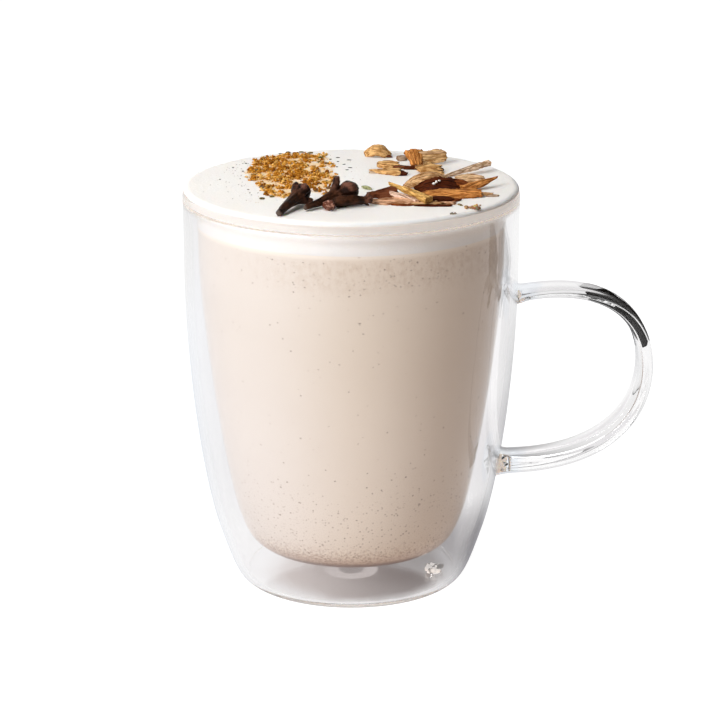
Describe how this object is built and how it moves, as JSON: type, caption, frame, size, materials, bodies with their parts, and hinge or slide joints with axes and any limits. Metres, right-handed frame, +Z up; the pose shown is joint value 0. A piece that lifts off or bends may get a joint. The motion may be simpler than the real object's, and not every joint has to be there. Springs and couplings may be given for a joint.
{
  "type": "masala chai in a double-walled glass mug",
  "caption": "Milky spiced tea under a layer of foam in a clear double-walled glass mug with a strap handle, topped with ground spice, cloves and cinnamon bark.",
  "frame": {"origin": "centre of the mug's flat base, on the cup's axis, at the surface it stands on", "axes": "+Z up along the cup's axis, +X towards the handle, +Y to the left of the handle seen from the cup"},
  "size_m": [0.1238, 0.088, 0.1131],
  "materials": {
    "clear_glass": "polished clear glass",
    "white_silicone": "satin silicone",
    "milky_tea": "milky liquid",
    "milk_foam": "fine moist foam",
    "clove_brown": "dry, wrinkled",
    "cinnamon_bark": "dry, fibrous"
  },
  "bodies": {
    "root": {"glass_mug": "clear_glass", "vent_plug": "white_silicone", "chai": "milky_tea", "foam_cap": "milk_foam", "clove_1": "clove_brown", "clove_2": "clove_brown", "clove_3": "clove_brown", "clove_bud": "clove_brown", "bark_back_curl": "cinnamon_bark", "bark_block": "cinnamon_bark", "bark_crumb_back": "cinnamon_bark", "bark_flat_back": "cinnamon_bark", "bark_leaf": "cinnamon_bark", "bark_chip": "cinnamon_bark", "bark_long_splinter": "cinnamon_bark", "bark_dark_curl": "cinnamon_bark", "bark_dark_core": "cinnamon_bark", "bark_flat_right": "cinnamon_bark", "bark_tapered": "cinnamon_bark", "bark_long_flat": "cinnamon_bark", "bark_red": "cinnamon_bark", "bark_pale_stick": "cinnamon_bark", "bark_brown": "cinnamon_bark", "bark_front_sliver": "cinnamon_bark"}
  },
  "joints": []
}
